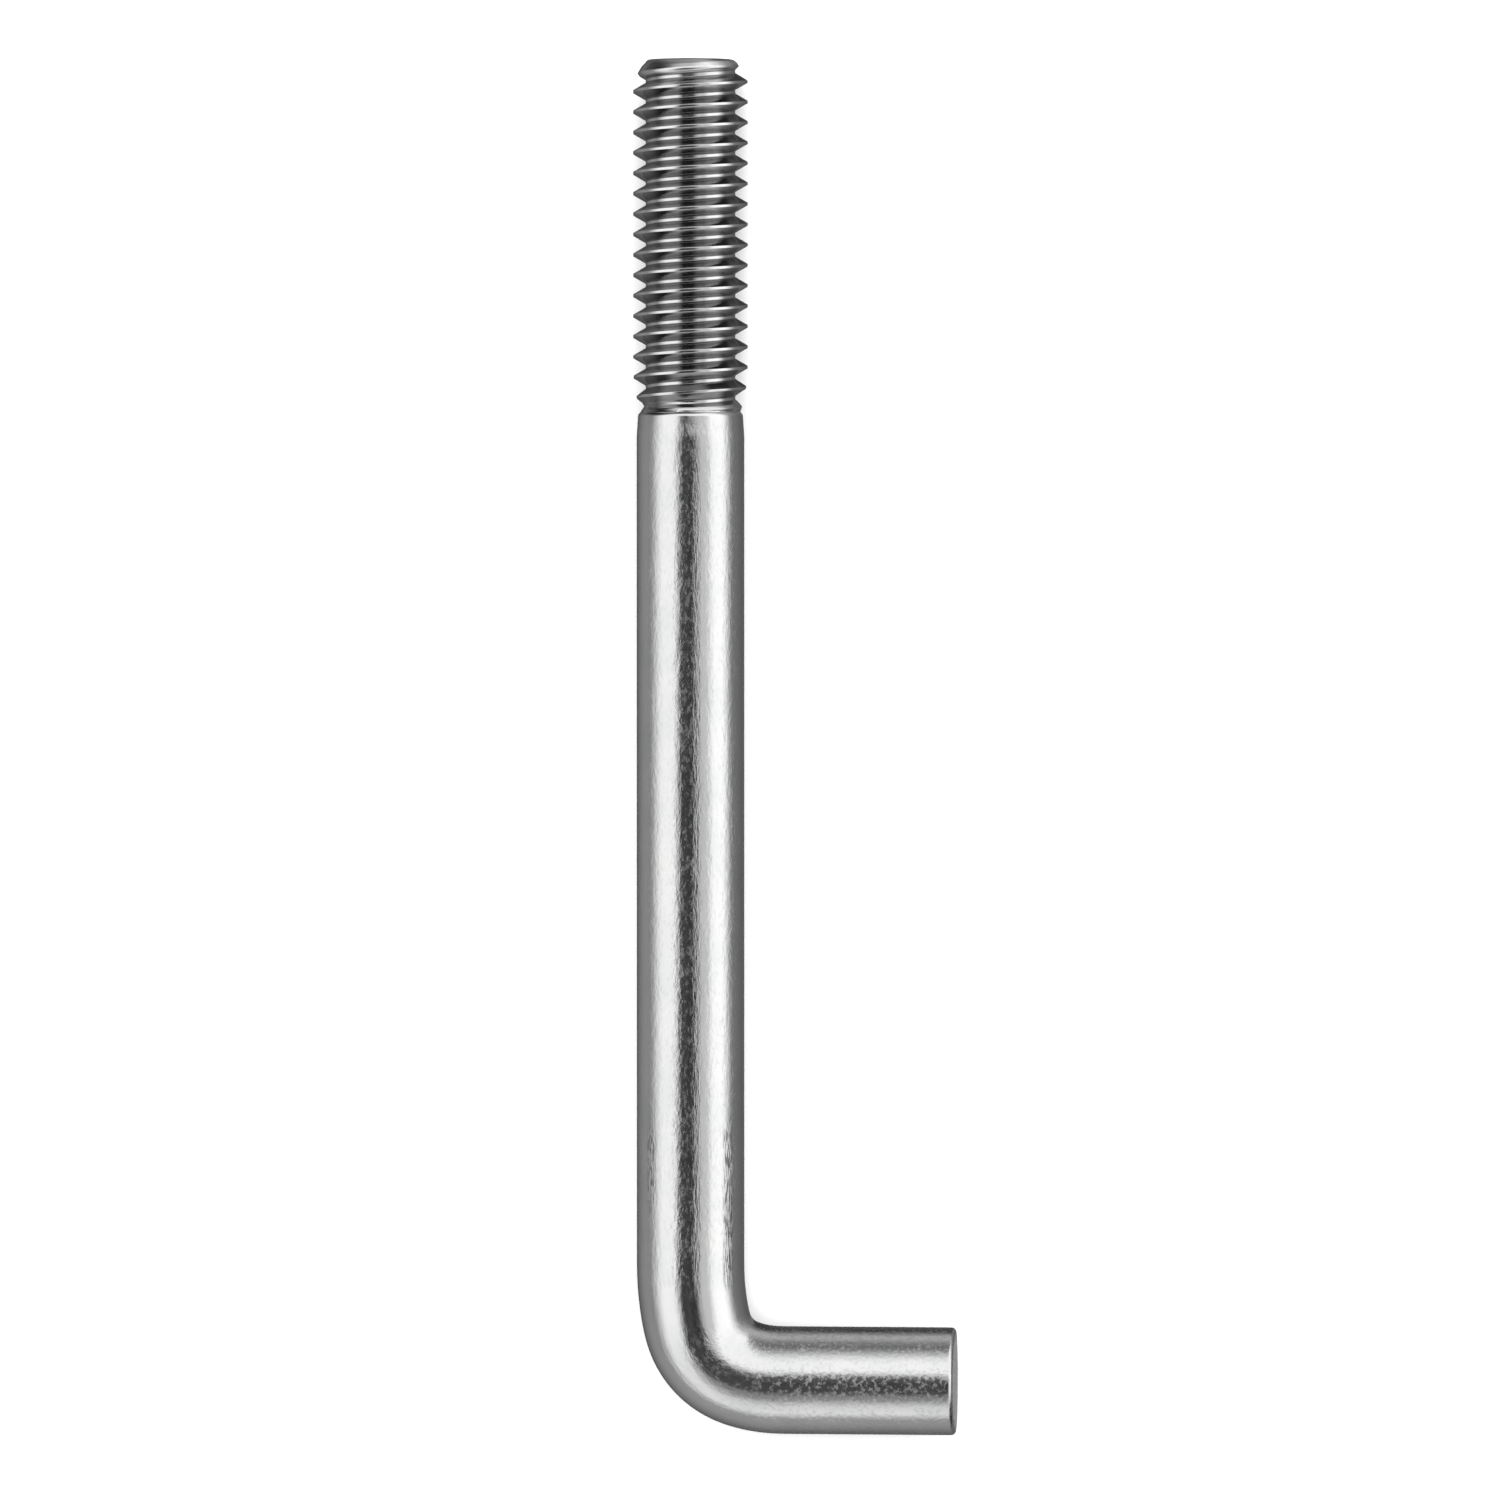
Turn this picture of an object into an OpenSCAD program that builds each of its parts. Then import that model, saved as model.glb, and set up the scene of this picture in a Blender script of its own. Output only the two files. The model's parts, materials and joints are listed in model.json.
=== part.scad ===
// L-shaped anchor bolt: one round steel bar with a rolled thread at one end and a
// right-angle hook bent at the other. It lies on its side as it would on a bench:
// shank along Y with the thread towards +Y, hook towards +X, +Z up.
// The origin is the middle of its footprint. All sizes are millimetres.

/* [Bar] */
// Overall length, from the threaded end to the outside of the hook
length = 95.25; // [60:0.25:300]
// Diameter of the plain shank and of the hook
shank_d = 7.46; // [6:0.01:9]

/* [Hook] */
// Reach of the hook, from the back of the shank to the cut end
hook_reach = 22.2; // [16:0.1:60]
// Radius on the inside of the bend
bend_inside_r = 2.3; // [0.5:0.1:8]
// Rounding of the edge of the cut end
cut_edge_r = 0.3; // [0.1:0.05:1]

/* [Thread] */
// Major diameter, over the crests
thread_d = 7.9375; // [7:0.0005:9]
// Turns of thread in one inch
turns_per_inch = 18; // [14:1:24]
// Length of the thread, from its end face to the top of the taper
thread_len = 24.4; // [10:0.1:40]
// Length of the taper from the rolled blank down to the full shank
taper_len = 1.75; // [0.5:0.05:6]
// Diameter of the flat end face
end_d = 6.3; // [5:0.05:7]
// Length of the rounded lead-in next to the end face
lead_len = 1.7; // [0.5:0.1:4]
// Length over which the crests sink towards the taper
crest_fade_len = 4.5; // [1:0.1:8]
// Length over which the groove runs out at the taper
root_fade_len = 0.6; // [0.2:0.05:3]
// Angle round the shank at which the first crest meets the end face
crest_angle = 34; // [0:1:359]

/* [Hidden] */
$fn = 96;

zinc = [0.70, 0.71, 0.72];

// Bar and hook
bar_r = shank_d / 2;
bend_r = bend_inside_r + bar_r;
leg_len = hook_reach - bar_r - bend_r;
shank_len = length - bar_r - bend_r - taper_len - thread_len;

// Thread form: 60 degree flanks, flat crests and a rounded root, as shares of the pitch
pitch = 25.4 / turns_per_inch;
crest_edge = 1 / 16;
flank_end = 3 / 8;
flank_depth = (flank_end - crest_edge) * tan(60);
root_depth = 17 / 24 * sin(60);
pitch_line_depth = 3 / 8 * sin(60);

thread_r = thread_d / 2;
root_r = thread_r - root_depth * pitch;
blank_r = thread_r - pitch_line_depth * pitch;

// Height over the root, 1 on the crest and 0 in the root, along one pitch from crest to crest
flank_rise = 1 - flank_depth / root_depth;
thread_form = [
    [0, 1],
    [crest_edge, 1],
    [flank_end, flank_rise],
    [0.5, 0],
    [1 - flank_end, flank_rise],
    [1 - crest_edge, 1],
    [1, 1]
];
knots = [for (i = [1:len(thread_form) - 2]) thread_form[i][0]];

// The foot of the thread is let into the taper by foot_len and stays a lip inside its edge
foot_len = 0.3;
lip = 0.05;

// Facets of the thread: columns round the axis, and rows of knots up each column. The turns run
// past both ends, where knots beyond an end plane, or within a snap of it, are drawn onto it
columns = 36;
snap = 0.03;
turns_above = 2;
turns_below = ceil((thread_len + foot_len) / pitch) + 2;
rows = (turns_below + turns_above + 1) * len(knots);

// Resting place on the side of the bar, centred over the origin
side_r = max(bar_r, thread_r);
axis_x = (side_r + bar_r - hook_reach) / 2;
corner_y = bar_r - length / 2;

// Share of a fade that is left at a distance from its start: 1 at the start, 0 past its end
function fade(distance, over) = max(0, 1 - max(0, distance) / over);

// Radius over the crests at a height above the taper
function crest_r(z) = blank_r - lip + (thread_r - blank_r + lip) * (1 - pow(fade(z, crest_fade_len), 2));

// Radius in the root at a height above the taper
function groove_r(z) = root_r + (blank_r - lip - root_r) * fade(z, root_fade_len);

// Radius of the rounded lead-in at a height above the taper
function lead_r(z) = thread_r - (thread_r - end_d / 2) * pow(fade(thread_len - z, lead_len), 2);

// Turns from the nearest crest below, at an angle and a height
function crest_phase(angle, z) =
    let (turn = (z - thread_len) / pitch - (angle - crest_angle) / 360)
    turn - floor(turn);

// Radius of the threaded end at an angle and a height
function thread_radius(angle, z) =
    let (form = lookup(crest_phase(angle, z), thread_form))
    min(lead_r(z), groove_r(z) + (crest_r(z) - groove_r(z)) * form);

// Height of a knot of the helix, held between the foot and the end face
function knot_z(column, row) =
    let (
        turn = floor(row / len(knots)) - turns_below,
        knot = knots[row % len(knots)],
        z = thread_len + pitch * (turn + knot + column / columns - crest_angle / 360)
    )
    z > thread_len - snap ? thread_len : z < snap - foot_len ? -foot_len : z;

function thread_point(column, row) =
    let (
        angle = 360 * column / columns,
        z = knot_z(column, row),
        r = thread_radius(angle, z)
    )
    [r * cos(angle), r * sin(angle), z];

// Past the last column the helix comes back to the first one, a turn higher
function point_index(column, row) =
    column < columns ? column * rows + row : row + len(knots);

// Two triangles between neighbouring columns, without those that an end plane closes up
function quad_faces(column, row) =
    let (
        a = point_index(column, row),
        b = point_index(column + 1, row),
        c = point_index(column + 1, row + 1),
        d = point_index(column, row + 1),
        left_open = knot_z(column, row) < knot_z(column, row + 1),
        right_open = knot_z(column + 1, row) < knot_z(column + 1, row + 1)
    )
    [if (left_open) [a, d, c], if (right_open) [a, c, b]];

// Rolled thread along Z, from its foot below Z = 0 to the end face
module thread_body() {
    points = [for (column = [0:columns - 1], row = [0:rows - 1]) thread_point(column, row)];
    sides = [
        for (column = [0:columns - 1], row = [0:rows - len(knots) - 2])
            each quad_faces(column, row)
    ];
    foot = [for (column = [0:columns - 1]) point_index(column, 0)];
    end_face = [for (column = [columns - 1:-1:0]) point_index(column, rows - 1)];
    polyhedron(points, concat(sides, [foot, end_face]));
}

// Plain shank along Z, from the bend up, and the taper on top of it
module shank_body() {
    taper_top = shank_len + taper_len;
    rotate_extrude()
        polygon([[0, 0], [bar_r, 0], [bar_r, shank_len], [blank_r, taper_top], [0, taper_top]]);
}

// Quarter turn from the shank to the hook, about the centre of the bend
module bend_body() {
    rotate([0, 0, 180])
        rotate_extrude(angle = 90)
            translate([bend_r, 0])
                circle(bar_r);
}

// Straight leg of the hook along Z, with a rounded edge at its cut end
module leg_body() {
    rotate_extrude() {
        square([bar_r, leg_len - cut_edge_r]);
        square([bar_r - cut_edge_r, leg_len]);
        translate([bar_r - cut_edge_r, leg_len - cut_edge_r])
            circle(cut_edge_r);
    }
}

module anchor_bolt() {
    color(zinc)
        translate([axis_x, corner_y, side_r]) {
            translate([0, bend_r, 0])
                rotate([-90, 0, 0]) {
                    shank_body();
                    translate([0, 0, shank_len + taper_len])
                        thread_body();
                }
            translate([bend_r, bend_r, 0])
                bend_body();
            translate([bend_r, 0, 0])
                rotate([0, 90, 0])
                    leg_body();
        }
}

anchor_bolt();
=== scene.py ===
"""L-shaped anchor bolt: the bar with its rolled thread and hook, in bright zinc plating."""

import json
import math

import bpy
from mathutils import Matrix, Vector


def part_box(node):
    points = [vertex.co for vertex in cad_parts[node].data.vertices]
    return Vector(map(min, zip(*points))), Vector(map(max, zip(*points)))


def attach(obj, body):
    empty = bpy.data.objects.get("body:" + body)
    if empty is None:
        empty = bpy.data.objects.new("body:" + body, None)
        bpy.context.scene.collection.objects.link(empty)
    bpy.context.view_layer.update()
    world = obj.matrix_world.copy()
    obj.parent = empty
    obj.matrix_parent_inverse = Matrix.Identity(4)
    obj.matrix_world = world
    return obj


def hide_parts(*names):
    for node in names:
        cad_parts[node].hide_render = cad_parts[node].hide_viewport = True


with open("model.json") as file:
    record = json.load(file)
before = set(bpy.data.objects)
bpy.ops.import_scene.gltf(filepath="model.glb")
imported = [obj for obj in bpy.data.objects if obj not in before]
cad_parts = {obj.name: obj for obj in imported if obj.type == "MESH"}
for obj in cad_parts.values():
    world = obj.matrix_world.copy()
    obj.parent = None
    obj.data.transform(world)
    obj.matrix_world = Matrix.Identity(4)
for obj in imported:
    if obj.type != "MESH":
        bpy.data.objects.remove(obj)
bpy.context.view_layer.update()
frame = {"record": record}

MM = 0.001


def grey(level):
    return (level, level, level, 1.0)


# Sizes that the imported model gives, in millimetres
mounts = {mount["name"]: mount for mount in frame["record"]["mounts"]}
node_low, node_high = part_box("anchor_bolt")
shank_r = mounts["shank"]["dims"]["r_mm"]
thread_r = mounts["thread"]["dims"]["r_mm"]
thread_len = mounts["thread"]["dims"]["length_mm"]
axis_x = mounts["shank"]["pos_m"][0] / MM
axis_z = mounts["shank"]["pos_m"][2] / MM
end_y = mounts["thread"]["pos_m"][1] / MM
leg_y = node_low.y / MM + shank_r
cut_x = node_high.x / MM

# Sizes of the thread's ends, in millimetres and degrees
PITCH = 25.4 / 18
END_R = 3.1  # of the lead-in's cone at the end face
END_EDGE = 0.3  # rounding of the end face's edge
LEAD_LEN = 1.45
LEAD_EDGE = 0.1  # rounding between the lead-in and the crests
CREST_ANGLE = 34  # where the helix of the crests starts
CREST_FADE_LEN = 3.2  # over which the crests sink at the foot
ROOT_FADE_LEN = 0.6  # over which the groove closes at the foot
LIP = 0.05  # how far the foot lies under the rolled blank
LIP_SHARE = 0.15  # of the taper, over which the lip rises
TAPER_LEN = 1.75
TAPER_STEP = 0.52  # of the step from blank to shank that the taper takes up
SHOULDER = 0.02  # rounding between the taper and the shank

# Sizes of the hook, in millimetres and degrees
BEND_ARCS = ((19.0, 12.7), (4.54, 58.4), (8.8, 18.9))  # radius and turn of each
BEND_EASE = 1.6  # length over which the curvature passes from one arc to the next
LEG_HEADING = math.pi / 2
CUT_EDGE_R = 0.3
CUT_SLOPE = 0.045  # of the cut end's lower half
CUT_RIDGE = 0.5  # rounding where that slope starts
EDGE_CUT = 0.5  # share of the sheared finish at the edges of the end faces

# Facets: columns round the bar, lengths of its rows, and numbers of rows and steps
COLUMNS = 96
SHANK_ROW = 0.8
BEND_ROW = 0.25
LEG_ROW = 0.6
EDGE_ROWS = 6
TAPER_ROWS = 24
TAPER_CROWDING = 1.5  # above 1, the rows crowd at the lip
FACE_RINGS = 6
CORNER_ROWS = 4
FLANK_ROWS = (0, 0.05, 0.5, 0.95)
BEND_STEPS = 20
SPARE_TURNS = 2
SNAP = 0.01

# Thread form in shares of the pitch: flat crest, straight flank and flat root, with the
# corners between them rounded
FLANK_TILT = math.radians(60)
CREST_CORNER = 1 / 16
CREST_ROUND = 0.02
ROOT_ROUND = 0.035
ROOT_EDGE = 0.02
ROOT_DEPTH = 17 / 24 * math.sin(FLANK_TILT)
PITCH_LINE_DEPTH = 3 / 8 * math.sin(FLANK_TILT)
root_corner = CREST_CORNER + ROOT_DEPTH / math.tan(FLANK_TILT)
crest_flat = CREST_CORNER - CREST_ROUND * math.tan(FLANK_TILT / 2)
crest_end = crest_flat + CREST_ROUND * math.sin(FLANK_TILT)
root_flat = root_corner + ROOT_ROUND * math.tan(FLANK_TILT / 2)
root_start = root_flat - ROOT_ROUND * math.sin(FLANK_TILT)
root_r = thread_r - ROOT_DEPTH * PITCH
blank_r = thread_r - PITCH_LINE_DEPTH * PITCH

# Where the surface changes along the bar, in millimetres below the end face
BEND_SMOOTH_IN = (84.0, 86.5)
BEND_SMOOTH_OUT = (87.0, 90.0)
BEND_SMOOTHING = 0.6
LEG_IN = (90.0, 96.0)
LEG_RELIEF = 0.7  # of the shank's relief
PLAIN_FADE = 1.0  # under the thread
# The flank colour grows darker towards the foot of the thread
FOOT_DARKENING = 1.5  # over the foot of the thread

# Rubbed streaks: degrees round from the top, half the width, where each starts and ends, and
# how much of it is marked with dark flecks
RUBBED = (
    (12.0, 6.0, 27.0, 86.0, 0.0),
    (50.0, 10.0, 73.0, 86.0, 0.9),
    (-41.0, 9.0, 73.0, 80.5, 0.8),
)
STREAK_FADE = 2.0
STREAK_CORE = 3  # a third of the width is rubbed in full

# Patterns: scale along the bar, where less is longer, and depth of relief in millimetres
GRAIN_STRETCH = 0.42
WAVE_STRETCH = 0.3
LINE_STRETCH = 0.02
SCRATCH_STRETCH = 0.13
SHEAR_STRETCH = (0.7, 1.0, 5.0)  # across, along and up
WAVE_DEPTH = 0.012
LINE_DEPTH = 0.0012
GRAIN_DEPTH = 0.02
SCRATCH_DEPTH = 0.028
FURROW_DEPTH = 0.1

# Levels of the noise between which a pattern sets in
NOISE_MEAN = 0.5
FINE_EDGE = (0.44, 0.66)
BLOB_EDGE = (0.42, 0.68)
FLECK_EDGE = (0.47, 0.57)
PATCH_EDGE = (0.34, 0.5)
PATCH_LEVELS = (0.4, 1.0)
CLOUD_EDGE = (0.3, 0.7)
SHEAR_EDGE = (0.35, 0.65)
SHEARED_EDGE = (0.6, 1.0)

# Colours and roughness of the plating
BRIGHT_TONES = ((0.55, 0.553, 0.556, 1.0), (0.59, 0.59, 0.587, 1.0))
# Painted shade: the darkest grey, deep in the roots of the thread, lighter towards the crests;
# the foot of the thread also darkens to it
ROOT_SHADE_GREY = grey(0.33)
CREST_GREY = grey(0.56)
FLECK_GREY = grey(0.14)
SHEAR_GREYS = (grey(0.5), grey(0.64))
BRIGHT_ROUGHNESS = (0.08, 0.11)
FINE_ROUGHNESS = 0.17
BLOB_ROUGHNESS = 0.26
CUT_ROUGHNESS = 0.5

# Camera: a long lens over the bolt, from a little to the right
CAMERA_RIGHT = 5.4
CAMERA_UP = 1.4
CAMERA_AWAY = 0.78
CAMERA_CLIP = (0.05, 50.0)
FRAME_WIDTH = 103.95
SENSOR = 36.0
AIM = Vector((-3.11, -0.18, 3.97)) * MM

# Tent light, in degrees from its axis. Each four values are for left, right, above and under
TENT_RIGHT = -5.0
TENT_UP = -2.0
TENT_LEVEL = 1.33
OPENING_LEAN = 24.0
TURN_POWER = 1.5
EARLY_SHARE = 0.16
TINY = 1e-5
INNER_PANEL = {
    "rise_from": (6, 15, 10, 18),
    "rise_to": (27, 35, 28, 32),
    "fall_from": (50, 79, 42, 66),
    "fall_to": (90, 116, 86, 88),
    "level": (0.55, 0.63, 0.53, 0.22),
}
OUTER_PANEL = {
    "rise_from": (6, 44, 10, 34),
    "rise_to": (27, 62, 28, 51),
    "fall_from": (50, 79, 42, 66),
    "fall_to": (90, 110, 86, 86),
    "level": (0.55, 0.58, 0.53, 0.47),
}
GLOW_RISE = (94, 110)
GLOW_FALL = (112, 134)
GLOW_LEVEL = (0.0, 0.0, 0.14, 0.0)
HORIZON = (98, 102, 112, 88)
HORIZON_SPREAD = 45.0
OPENING_LEVEL = (0.04, 0.04, 0.10, 0.07)
HORIZON_LEVEL = (0.30, 0.22, 0.36, 0.36)
BELOW = (163, 167, 142, 153)
BELOW_SHARE = (0.22, 0.5, 0.12, 0.3)
GAP_DEPTH = 3.8
GAP_RISE = (50, 80)
GAP_FALL = (118, 138)
BACKDROP_LEVEL = 0.93

# Pale floor and its lamp, in metres and watts
FLOOR_R = 4.0
FLOOR_SIDES = 64
FLOOR_GREY = grey(0.93)
LAMP_SIZE = 1.2
LAMP_ENERGY = 20.0
LAMP_AWAY = 1.5


def clamp(value):
    return max(0.0, min(1.0, value))


def fade(distance, over):
    """Share that is left at a distance from the start of a fade."""
    return clamp(1 - max(0.0, distance) / over)


def smooth_min(a, b, width):
    """Smaller of two radii, with the edge between them rounded over a width."""
    blend = clamp(0.5 + 0.5 * (b - a) / width)
    return b + (a - b) * blend - width * blend * (1 - blend)


def form_depth(from_crest):
    """Depth under the crest in pitches, at a distance of 0 to 0.5 pitches from it."""
    if from_crest < crest_flat:
        return 0.0
    if from_crest < crest_end:
        return CREST_ROUND - math.sqrt(CREST_ROUND**2 - (from_crest - crest_flat) ** 2)
    if from_crest < root_start:
        return (from_crest - CREST_CORNER) * math.tan(FLANK_TILT)
    if from_crest < root_flat:
        from_flat = root_flat - from_crest
        return ROOT_DEPTH - ROOT_ROUND + math.sqrt(ROOT_ROUND**2 - from_flat**2)
    return ROOT_DEPTH


def lead_radius(below):
    """Radius of the lead-in cone, with the edge at the end face rounded."""
    cone_r = END_R + (thread_r - END_R) * below / LEAD_LEN
    return cone_r - END_EDGE * (1 - math.sqrt(1 - fade(below, END_EDGE) ** 2))


def thread_radius(phase, below):
    """Radius at a phase from crest to crest, and at a distance below the end face."""
    above_taper = thread_len - below
    form = 1 - form_depth(min(phase, 1 - phase)) / ROOT_DEPTH
    foot_r = blank_r - LIP
    crest_r = foot_r + (thread_r - foot_r) * (1 - fade(above_taper, CREST_FADE_LEN) ** 2)
    groove_r = root_r + (foot_r - root_r) * fade(above_taper, ROOT_FADE_LEN)
    return smooth_min(lead_radius(below), groove_r + (crest_r - groove_r) * form, LEAD_EDGE)


def half_knots():
    """Distances from the crest at which rows of the thread lie, from crest to root."""
    tilts = [FLANK_TILT * k / CORNER_ROWS for k in range(CORNER_ROWS)]
    crest = [crest_flat + CREST_ROUND * math.sin(tilt) for tilt in tilts]
    flank = [crest_end + (root_start - crest_end) * share for share in FLANK_ROWS]
    root = [root_flat - ROOT_ROUND * math.sin(FLANK_TILT - tilt) for tilt in tilts]
    return [0.0] + crest + flank + root + [root_flat, root_flat + ROOT_EDGE]


def flank_share(from_crest, below):
    """How much of the darker flank colour shows, partly darker plating and partly painted shade
    in the groove: none on the crest, in the root and at both ends.
    """
    form = clamp((from_crest - crest_flat) / (crest_end - crest_flat))
    form *= clamp((root_flat + ROOT_EDGE - from_crest) / ROOT_EDGE)
    lead = clamp((below - LEAD_LEN / 2) / (LEAD_LEN / 2))
    foot = 1 - fade(thread_len - below, ROOT_FADE_LEN)
    return form * lead * foot


class Bar:
    """Points, faces and surface values of the bar, from the thread end to the cut end."""

    def __init__(self):
        self.points = []
        self.straight = []
        self.flank = []
        self.cut = []
        self.faces = []
        self.last = []

    def add(self, place, heading, along, angle, radius, flank=0.0, cut=0.0):
        """Adds a point round the bar; the angle runs from the inside of the bend to +Z."""
        side = radius * math.cos(angle)
        self.points.append(
            (
                (place[0] + side * math.cos(heading)) * MM,
                (place[1] + side * math.sin(heading)) * MM,
                (axis_z + radius * math.sin(angle)) * MM,
            )
        )
        self.straight.append((side, along, radius * math.sin(angle)))
        self.flank.append(flank)
        self.cut.append(cut)
        return len(self.points) - 1

    def ring(self, place, heading, along, radius, cut=0.0):
        return [
            self.add(place, heading, along, math.tau * j / COLUMNS, radius, cut=cut)
            for j in range(COLUMNS)
        ]

    def cut_ring(self, x, along, radius, cut):
        """Ring at the cut end, whose lower half slopes back a little."""
        made = []
        for j in range(COLUMNS):
            angle = math.tau * j / COLUMNS
            drop = max(0.0, -radius * math.sin(angle))
            back = CUT_SLOPE * (math.hypot(drop, CUT_RIDGE) - CUT_RIDGE)
            made.append(self.add((x - back, leg_y), LEG_HEADING, along, angle, radius, cut=cut))
        return made

    def face(self, *corners):
        """Adds a face, unless fewer than three of its corners differ."""
        corners = list(dict.fromkeys(corners))
        if len(corners) > 2:
            self.faces.append(corners)

    def start(self, centre, ring):
        """Opens the bar with a fan from a centre point to its first ring."""
        for j in range(COLUMNS):
            self.face(centre, ring[(j + 1) % COLUMNS], ring[j])
        self.last = ring

    def grow(self, ring):
        """Joins a new ring to the last one."""
        for j in range(COLUMNS):
            k = (j + 1) % COLUMNS
            self.face(self.last[j], self.last[k], ring[k], ring[j])
        self.last = ring

    def close(self, centre):
        """Closes the bar with a fan from its last ring to a centre point."""
        for j in range(COLUMNS):
            self.face(centre, self.last[j], self.last[(j + 1) % COLUMNS])


def add_end_face(bar):
    """Flat face of the thread end, from its centre to its edge."""
    top = (axis_x, end_y)
    edge_r = lead_radius(0)
    centre = bar.add(top, 0.0, 0.0, 0.0, 0.0, cut=1.0)
    bar.start(centre, bar.ring(top, 0.0, 0.0, edge_r / FACE_RINGS, 1.0))
    for k in range(2, FACE_RINGS):
        bar.grow(bar.ring(top, 0.0, 0.0, edge_r * k / FACE_RINGS, 1.0))
    bar.grow(bar.ring(top, 0.0, 0.0, edge_r, EDGE_CUT))


def add_thread(bar):
    """Helical rows between the edge of the end face and a ring at the foot."""
    end_ring = bar.last
    foot_ring = bar.ring((axis_x, end_y - thread_len), 0.0, thread_len, blank_r - LIP)
    half = half_knots()
    knots = half + [0.5] + [1 - u for u in reversed(half[1:])]
    turns = range(-SPARE_TURNS, math.ceil(thread_len / PITCH) + SPARE_TURNS)
    rows = [(turn, knot) for turn in turns for knot in knots]
    index = []
    for turn, knot in rows:
        line = []
        for j in range(COLUMNS):
            lead = (360 * j / COLUMNS + CREST_ANGLE) / 360
            below = PITCH * (turn + knot + lead)
            if below < SNAP:
                line.append(end_ring[j])
            elif below > thread_len - SNAP:
                line.append(foot_ring[j])
            else:
                radius = thread_radius(knot, below)
                flank = flank_share(min(knot, 1 - knot), below)
                cut = EDGE_CUT * fade(below, LEAD_LEN)
                place = (axis_x, end_y - below)
                angle = math.tau * j / COLUMNS
                line.append(bar.add(place, 0.0, below, angle, radius, flank, cut))
        index.append(line)
    for i in range(len(rows) - 1):
        for j in range(COLUMNS - 1):
            bar.face(index[i][j], index[i][j + 1], index[i + 1][j + 1], index[i + 1][j])

        # The last column joins the first one a turn further on
        k = i + len(knots)
        if k + 1 < len(rows):
            bar.face(index[i][-1], index[k][0], index[k + 1][0], index[i + 1][-1])
    bar.last = foot_ring


def add_taper(bar):
    """Lip under the thread, and the taper from it to the shank."""
    for k in range(1, TAPER_ROWS + 1):
        share = (k / TAPER_ROWS) ** TAPER_CROWDING
        along = thread_len + TAPER_LEN * share
        cone_r = shank_r - (shank_r - blank_r) * TAPER_STEP * (1 - share)
        lip = (cone_r - blank_r + LIP) * fade(share, LIP_SHARE) ** 2
        radius = smooth_min(cone_r, shank_r, SHOULDER) + SHOULDER / 4 - lip
        bar.grow(bar.ring((axis_x, end_y - along), 0.0, along, min(radius, shank_r)))


def bend_path():
    """Stations (dx, dy, heading, length) of the bend from its start, curvature eased."""
    marks = [0.0]
    for radius, turn in BEND_ARCS:
        marks.append(marks[-1] + radius * math.radians(turn))

    def eased(along, mark):
        return clamp((along - mark) / BEND_EASE + 0.5)

    def curvature(along):
        return sum(
            (eased(along, marks[i]) - eased(along, marks[i + 1])) / arc[0]
            for i, arc in enumerate(BEND_ARCS)
        )

    start = -BEND_EASE / 2
    total = marks[-1] + BEND_EASE
    rows = round(total / BEND_ROW)
    step = total / rows / BEND_STEPS
    x = y = heading = 0.0
    stations = [(x, y, heading, 0.0)]
    for i in range(rows * BEND_STEPS):
        turned = curvature(start + (i + 0.5) * step) * step
        heading += turned
        middle = heading - turned / 2
        x += math.sin(middle) * step
        y -= math.cos(middle) * step
        if (i + 1) % BEND_STEPS == 0:
            stations.append((x, y, heading, (i + 1) * step))
    return stations


def add_hook(bar):
    """Shank, bend and leg, up to the edge of the cut end; gives the length of bar so far."""
    stations = bend_path()
    bend_dx, bend_dy, _, bend_len = stations[-1]
    bend_y = leg_y - bend_dy
    shank_from = thread_len + TAPER_LEN
    shank_to = end_y - bend_y
    shank_rows = round((shank_to - shank_from) / SHANK_ROW)
    for k in range(1, shank_rows + 1):
        along = shank_from + (shank_to - shank_from) * k / shank_rows
        bar.grow(bar.ring((axis_x, end_y - along), 0.0, along, shank_r))
    for dx, dy, heading, along in stations[1:]:
        bar.grow(bar.ring((axis_x + dx, bend_y + dy), heading, shank_to + along, shank_r))
    leg_from = axis_x + bend_dx
    leg_along = shank_to + bend_len
    leg_len = cut_x - CUT_EDGE_R - leg_from
    leg_rows = round(leg_len / LEG_ROW)
    for k in range(1, leg_rows):
        run = leg_len * k / leg_rows
        bar.grow(bar.ring((leg_from + run, leg_y), LEG_HEADING, leg_along + run, shank_r))
    return leg_along + leg_len


def add_cut_end(bar, along):
    """Rounded edge and face of the cut end."""
    for k in range(EDGE_ROWS + 1):
        turn = math.pi / 2 * k / EDGE_ROWS
        out = CUT_EDGE_R * math.sin(turn)
        radius = shank_r - CUT_EDGE_R * (1 - math.cos(turn))
        cut = EDGE_CUT if k == EDGE_ROWS else 0.0
        bar.grow(bar.cut_ring(cut_x - CUT_EDGE_R + out, along + out, radius, cut))
    face_r = shank_r - CUT_EDGE_R
    face_along = along + CUT_EDGE_R
    for k in range(FACE_RINGS - 1, 0, -1):
        bar.grow(bar.cut_ring(cut_x, face_along, face_r * k / FACE_RINGS, 1.0))
    bar.close(bar.add((cut_x, leg_y), LEG_HEADING, face_along, 0.0, 0.0, cut=1.0))


def build_bar():
    bar = Bar()
    add_end_face(bar)
    add_thread(bar)
    add_taper(bar)
    along = add_hook(bar)
    add_cut_end(bar, along)
    return bar


def add_object(name, data):
    made = bpy.data.objects.new(name, data)
    bpy.context.scene.collection.objects.link(made)
    return made


def make_object(bar, name):
    mesh = bpy.data.meshes.new(name)
    mesh.from_pydata(bar.points, [], bar.faces)
    straight = mesh.attributes.new("straight", "FLOAT_VECTOR", "POINT")
    straight.data.foreach_set("vector", [x for point in bar.straight for x in point])
    flank = mesh.attributes.new("flank", "FLOAT", "POINT")
    flank.data.foreach_set("value", bar.flank)
    cut = mesh.attributes.new("cut", "FLOAT", "POINT")
    cut.data.foreach_set("value", bar.cut)
    mesh.shade_smooth()
    mesh.validate()
    return add_object(name, mesh)


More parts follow.
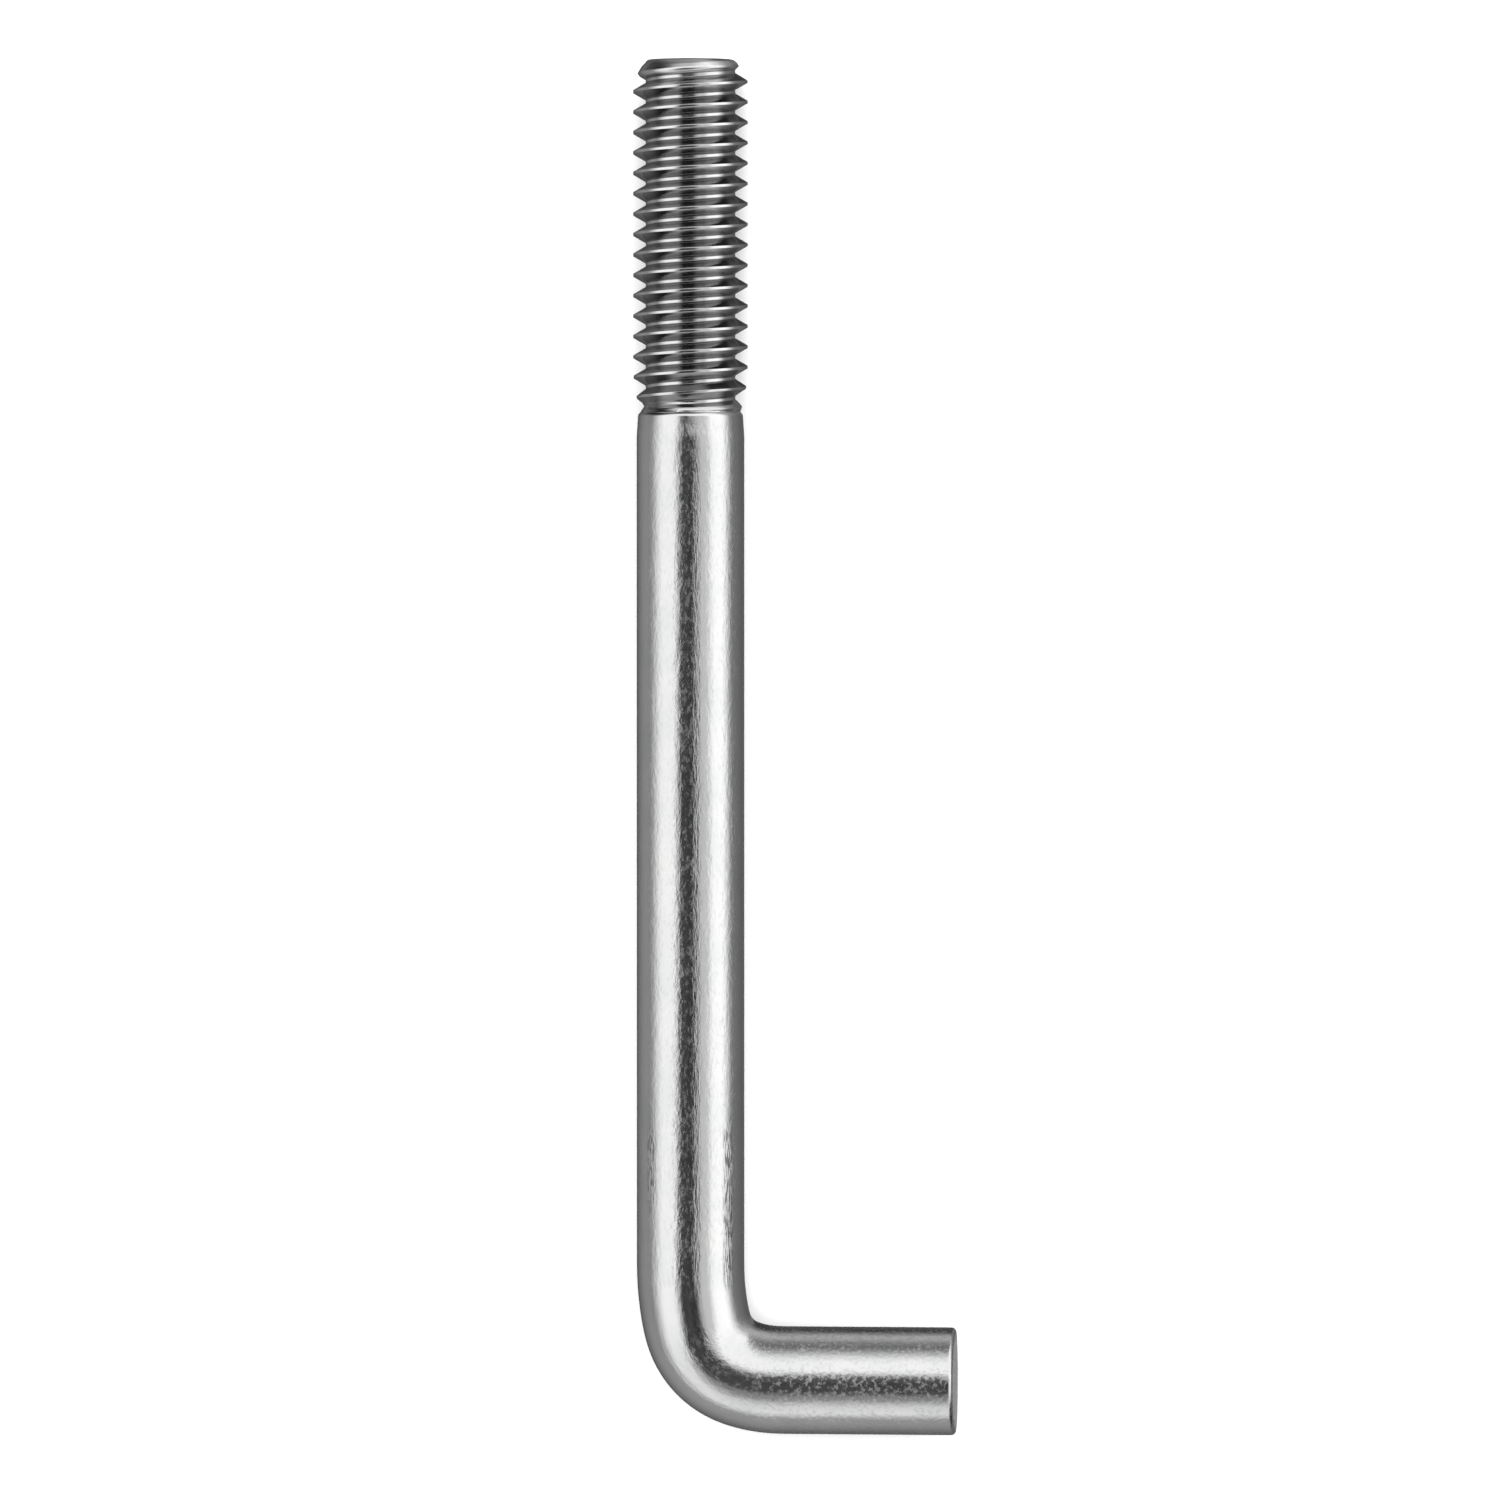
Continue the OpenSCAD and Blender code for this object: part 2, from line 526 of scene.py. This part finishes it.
class Graph:
    """Adds nodes to a node tree. Inputs are sockets, or plain numbers, vectors and colours."""

    def __init__(self, tree):
        self.tree = tree
        tree.nodes.clear()

    def node(self, kind, **settings):
        made = self.tree.nodes.new(kind)
        for name, value in settings.items():
            setattr(made, name, value)
        return made

    def put(self, socket, value):
        if isinstance(value, bpy.types.NodeSocket):
            self.tree.links.new(value, socket)
        elif value is not None:
            socket.default_value = value

    def math(self, operation, *values):
        made = self.node("ShaderNodeMath", operation=operation)
        for socket, value in zip(made.inputs, values):
            self.put(socket, value)
        return made.outputs[0]

    def times(self, first, *others):
        for other in others:
            first = self.math("MULTIPLY", first, other)
        return first

    def plus(self, first, *others):
        for other in others:
            first = self.math("ADD", first, other)
        return first

    def minus(self, first, second):
        return self.math("SUBTRACT", first, second)

    def degrees(self, operation, *values):
        """Angle of an inverse function, in degrees."""
        return self.times(self.math(operation, *values), 180 / math.pi)

    def vector(self, operation, *values):
        made = self.node("ShaderNodeVectorMath", operation=operation)
        for socket, value in zip(made.inputs, values):
            self.put(socket, value)
        scalar = operation in ("DOT_PRODUCT", "LENGTH")
        return made.outputs["Value" if scalar else "Vector"]

    def stretch(self, place, along):
        """Place round the bar, with its length scaled."""
        return self.vector("MULTIPLY", place, (1.0, along, 1.0))

    def ramp(self, value, low, high, to_low=0.0, to_high=1.0):
        made = self.node("ShaderNodeMapRange", interpolation_type="SMOOTHSTEP", clamp=True)
        for socket, given in zip(made.inputs, (value, low, high, to_low, to_high)):
            self.put(socket, given)
        return made.outputs[0]

    def fall(self, value, low, high):
        """Ramp from one down to zero."""
        return self.ramp(value, low, high, 1.0, 0.0)

    def noise(self, place, scale, detail, roughness=0.5):
        made = self.node("ShaderNodeTexNoise", noise_dimensions="3D")
        self.put(made.inputs["Vector"], place)
        self.put(made.inputs["Scale"], scale)
        self.put(made.inputs["Detail"], detail)
        self.put(made.inputs["Roughness"], roughness)
        return made.outputs[0]

    def relief(self, noise):
        """Noise as a height above and below the surface."""
        return self.minus(noise, NOISE_MEAN)

    def mix(self, share, low, high):
        """Number between two numbers."""
        made = self.node("ShaderNodeMix", data_type="FLOAT")
        self.put(made.inputs[0], share)
        self.put(made.inputs[2], low)
        self.put(made.inputs[3], high)
        return made.outputs[0]

    def colour(self, share, low, high):
        """Colour between two colours."""
        made = self.node("ShaderNodeMix", data_type="RGBA")
        self.put(made.inputs[0], share)
        self.put(made.inputs[6], low)
        self.put(made.inputs[7], high)
        return made.outputs[2]

    def attribute(self, name, output):
        made = self.node("ShaderNodeAttribute", attribute_name=name)
        return made.outputs[output]

    def bump(self, height, depth, normal=None):
        """Normal of a relief whose depth is in millimetres."""
        made = self.node("ShaderNodeBump")
        self.put(made.inputs["Strength"], 1.0)
        self.put(made.inputs["Distance"], depth * MM)
        self.put(made.inputs["Height"], height)
        self.put(made.inputs["Normal"], normal)
        return made.outputs[0]


def rubbed_streaks(graph, around, below):
    """Shares of the shank that are rubbed, and that are marked with flecks."""
    rubbed = []
    marked = []
    for centre, half_width, start, end, flecked in RUBBED:
        off = graph.math("ABSOLUTE", graph.minus(around, centre))
        streak = graph.times(
            graph.fall(off, half_width / STREAK_CORE, half_width),
            graph.ramp(below, start, start + STREAK_FADE),
            graph.fall(below, end - STREAK_FADE, end),
        )
        rubbed.append(streak)
        marked.append(graph.times(streak, flecked))
    return graph.plus(*rubbed), graph.plus(*marked)


def zinc_material():
    made = bpy.data.materials.new("zinc_plating")
    made.use_nodes = True
    graph = Graph(made.node_tree)
    place = graph.attribute("straight", "Vector")
    flank = graph.attribute("flank", "Fac")
    cut = graph.attribute("cut", "Fac")
    parts = graph.node("ShaderNodeSeparateXYZ")
    graph.put(parts.inputs[0], place)
    side, below, upper = parts.outputs
    around = graph.degrees("ARCTAN2", side, upper)
    from_axis = graph.vector("LENGTH", graph.stretch(place, 0.0))

    # Shares of the surface: the plain drawn bar, the leg past the bend, and the texture that
    # the bend leaves
    plain = graph.ramp(below, thread_len, thread_len + PLAIN_FADE)
    leg = graph.ramp(below, *LEG_IN)
    bend_in = graph.ramp(below, *BEND_SMOOTH_IN)
    bend_out = graph.fall(below, *BEND_SMOOTH_OUT)
    textured = graph.minus(1.0, graph.times(bend_in, bend_out, BEND_SMOOTHING))

    # Grain of the drawn bar, stretched along it, and rounder mottling on the leg
    drawn = graph.stretch(place, GRAIN_STRETCH)
    grain = graph.noise(drawn, scale=3.4, detail=3.0, roughness=0.6)
    mottling = graph.noise(place, scale=3.0, detail=2.0)
    texture = graph.relief(graph.mix(leg, grain, mottling))
    texture = graph.times(texture, graph.mix(leg, 1.0, LEG_RELIEF), textured, plain)
    fine = graph.noise(drawn, scale=5.0, detail=3.0, roughness=0.6)
    fine = graph.ramp(fine, *FINE_EDGE, 0.0, FINE_ROUGHNESS)
    blobs = graph.noise(place, scale=3.6, detail=2.0, roughness=0.55)
    blobs = graph.ramp(blobs, *BLOB_EDGE, 0.0, BLOB_ROUGHNESS)
    speckle = graph.times(graph.mix(leg, fine, blobs), plain, textured)
    waves = graph.noise(graph.stretch(place, WAVE_STRETCH), scale=0.45, detail=1.0)
    lines = graph.noise(graph.stretch(place, LINE_STRETCH), scale=5.0, detail=2.0)

    # Rubbed streaks along the shank: a seam near its top, and scuffs towards the bend
    rubbed, marked = rubbed_streaks(graph, around, below)
    scratched = graph.stretch(place, SCRATCH_STRETCH)
    strokes = graph.noise(scratched, scale=8.0, detail=2.0, roughness=0.6)
    scratches = graph.times(graph.relief(strokes), rubbed)
    patches = graph.ramp(graph.noise(place, scale=0.8, detail=1.0), *PATCH_EDGE, *PATCH_LEVELS)
    flecks = graph.times(graph.ramp(strokes, *FLECK_EDGE), marked, patches)

    # Sheared end faces, with fine lines across them
    shear = graph.vector("MULTIPLY", place, SHEAR_STRETCH)
    shear = graph.noise(shear, scale=1.0, detail=3.0, roughness=0.6)
    furrows = graph.times(graph.relief(shear), graph.ramp(cut, *SHEARED_EDGE))

    normal = graph.bump(waves, WAVE_DEPTH)
    normal = graph.bump(lines, LINE_DEPTH, normal)
    normal = graph.bump(texture, GRAIN_DEPTH, normal)
    normal = graph.bump(scratches, SCRATCH_DEPTH, normal)
    normal = graph.bump(furrows, FURROW_DEPTH, normal)

    # Bright plating, darker on the flanks, partly as darker plating and partly as painted shade
    # that deepens from the crest down to the root, and darker towards the foot of the thread
    shade = graph.ramp(graph.noise(place, scale=0.35, detail=3.0, roughness=0.6), *CLOUD_EDGE)
    foot = graph.ramp(below, thread_len - CREST_FADE_LEN, thread_len - FOOT_DARKENING)
    # Painted shade in the grooves: the flank colour darkens from the crest down to the root
    flank_tone_and_shade = graph.colour(graph.ramp(from_axis, root_r, thread_r), ROOT_SHADE_GREY, CREST_GREY)
    # Darker towards the foot of the thread
    flank_tone_and_shade = graph.colour(foot, flank_tone_and_shade, ROOT_SHADE_GREY)
    colour = graph.colour(flank, graph.colour(shade, *BRIGHT_TONES), flank_tone_and_shade)
    colour = graph.colour(flecks, colour, FLECK_GREY)
    face = graph.colour(graph.ramp(shear, *SHEAR_EDGE), *SHEAR_GREYS)
    colour = graph.colour(cut, colour, face)
    roughness = graph.mix(shade, *BRIGHT_ROUGHNESS)
    roughness = graph.plus(roughness, speckle, graph.times(cut, CUT_ROUGHNESS))

    shader = graph.node("ShaderNodeBsdfPrincipled")
    graph.put(shader.inputs["Base Color"], colour)
    graph.put(shader.inputs["Metallic"], 1.0)
    graph.put(shader.inputs["Roughness"], roughness)
    graph.put(shader.inputs["Normal"], normal)
    output = graph.node("ShaderNodeOutputMaterial")
    graph.put(output.inputs["Surface"], shader.outputs[0])
    return made


def leaning_axes(right, up):
    """Right, up and towards the viewer, from above but leaning by two angles in degrees."""
    right_lean = math.sin(math.radians(right))
    up_lean = math.sin(math.radians(up))
    towards = Vector((right_lean, up_lean, math.sqrt(1 - right_lean**2 - up_lean**2)))
    view_right = Vector((0, 1, 0)).cross(towards).normalized()
    return view_right, towards.cross(view_right), towards


def place_over(made, aim, away):
    """Places a camera or lamp to look at a point from a distance, in the photo's direction."""
    axes = leaning_axes(CAMERA_RIGHT, CAMERA_UP)
    turn = Matrix(axes).transposed().to_4x4()
    made.matrix_world = Matrix.Translation(aim + axes[2] * away) @ turn


def add_camera():
    data = bpy.data.cameras.new("camera")
    data.sensor_width = SENSOR
    data.lens = SENSOR * CAMERA_AWAY / (FRAME_WIDTH * MM)
    data.clip_start, data.clip_end = CAMERA_CLIP
    camera = add_object("camera", data)
    place_over(camera, AIM, CAMERA_AWAY)
    bpy.context.scene.camera = camera


def tent_light():
    """Soft tent over the bolt: bright panels round a dark opening above, grey below."""
    tent_right, tent_up, axis = leaning_axes(TENT_RIGHT, TENT_UP)
    world = bpy.data.worlds.new("tent")
    world.use_nodes = True
    bpy.context.scene.world = world
    graph = Graph(world.node_tree)
    ray = graph.node("ShaderNodeTexCoord").outputs["Generated"]
    across = graph.vector("DOT_PRODUCT", ray, tent_right)
    upward = graph.vector("DOT_PRODUCT", ray, tent_up)
    angle = graph.degrees("ARCCOSINE", graph.vector("DOT_PRODUCT", ray, axis))

    # Share of a direction that lies sideways, the rest lying up and down the bolt
    sideways = graph.times(across, across)
    lengthways = graph.times(upward, upward)
    share = graph.math("DIVIDE", sideways, graph.plus(sideways, lengthways, TINY))
    to_right = graph.math("GREATER_THAN", across, 0.0)
    to_top = graph.math("GREATER_THAN", upward, 0.0)
    turn = graph.math("POWER", share, TURN_POWER)
    early = graph.mix(to_top, turn, graph.ramp(share, 0.0, EARLY_SHARE))

    # Corners between the sides and the ends; those to the upper left and the lower right are
    # crosswise, and in the other two the opening lies further to the lower left
    between = graph.times(share, graph.minus(1.0, share))
    crosswise = graph.math("LESS_THAN", graph.times(across, upward), 0.0)
    corner = graph.mix(crosswise, graph.times(between, OPENING_LEAN), 0.0)
    corner = graph.times(corner, graph.mix(to_top, 1.0, -1.0))

    def blend(values, by):
        """Value for a direction, from those for left, right, above and under."""
        left, right, above, under = values
        sides = graph.mix(to_right, left, right)
        ends = graph.mix(to_top, under, above)
        return graph.mix(by, ends, sides)

    def panel(rise_from, rise_to, fall_from, fall_to, level):
        """Panel round the opening."""
        low = graph.plus(blend(rise_from, turn), corner)
        high = graph.plus(blend(rise_to, turn), corner)
        rise = graph.ramp(angle, low, high)
        fall = graph.fall(angle, blend(fall_from, early), blend(fall_to, early))
        return graph.times(rise, fall, blend(level, turn))

    inner = panel(**INNER_PANEL)
    outer = panel(**OUTER_PANEL)
    glow = graph.times(graph.ramp(angle, *GLOW_RISE), graph.fall(angle, *GLOW_FALL))
    glow = graph.times(glow, blend(GLOW_LEVEL, turn))

    # Grey surround, from the opening to the horizon and on to below
    horizon = blend(HORIZON, turn)
    surround = graph.ramp(
        angle,
        graph.minus(horizon, HORIZON_SPREAD),
        horizon,
        blend(OPENING_LEVEL, turn),
        blend(HORIZON_LEVEL, turn),
    )
    behind = graph.ramp(angle, horizon, blend(BELOW, turn), 1.0, blend(BELOW_SHARE, early))

    # Gaps between the panels in the crosswise corners
    gap = graph.times(
        between,
        GAP_DEPTH,
        crosswise,
        graph.ramp(angle, *GAP_RISE),
        graph.fall(angle, *GAP_FALL),
    )
    level = graph.plus(graph.times(surround, behind), inner, outer, glow)
    level = graph.times(level, graph.minus(1.0, gap), TENT_LEVEL)

    seen = graph.node("ShaderNodeLightPath").outputs["Is Camera Ray"]
    background = graph.node("ShaderNodeBackground")
    graph.put(background.inputs["Color"], grey(1.0))
    graph.put(background.inputs["Strength"], graph.mix(seen, level, BACKDROP_LEVEL))
    output = graph.node("ShaderNodeOutputWorld")
    graph.put(output.inputs["Surface"], background.outputs[0])


def add_floor():
    """Pale floor, out of the metal's reflections."""
    turns = [math.tau * k / FLOOR_SIDES for k in range(FLOOR_SIDES)]
    corners = [(FLOOR_R * math.cos(turn), FLOOR_R * math.sin(turn), 0.0) for turn in turns]
    mesh = bpy.data.meshes.new("floor")
    mesh.from_pydata(corners, [], [list(range(FLOOR_SIDES))])
    made = add_object("floor", mesh)
    made.visible_glossy = False
    paint = bpy.data.materials.new("floor")
    paint.use_nodes = True
    graph = Graph(paint.node_tree)
    shader = graph.node("ShaderNodeBsdfDiffuse")
    graph.put(shader.inputs["Color"], FLOOR_GREY)
    output = graph.node("ShaderNodeOutputMaterial")
    graph.put(output.inputs["Surface"], shader.outputs[0])
    mesh.materials.append(paint)
    return made


def add_floor_lamp():
    """Soft lamp that the metal doesn't reflect."""
    data = bpy.data.lights.new("floor_lamp", "AREA")
    data.shape = "DISK"
    data.size = LAMP_SIZE
    data.energy = LAMP_ENERGY
    lamp = add_object("floor_lamp", data)
    place_over(lamp, Vector((0, 0, 0)), LAMP_AWAY)
    lamp.visible_glossy = False
    lamp.visible_camera = False


bolt = make_object(build_bar(), "anchor_bolt_bar")
bolt.data.materials.append(zinc_material())
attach(bolt, "root")
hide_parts("anchor_bolt")

add_camera()
tent_light()
floor = add_floor()
add_floor_lamp()

view = bpy.context.scene.view_settings
view.view_transform = "Standard"
view.look = "None"
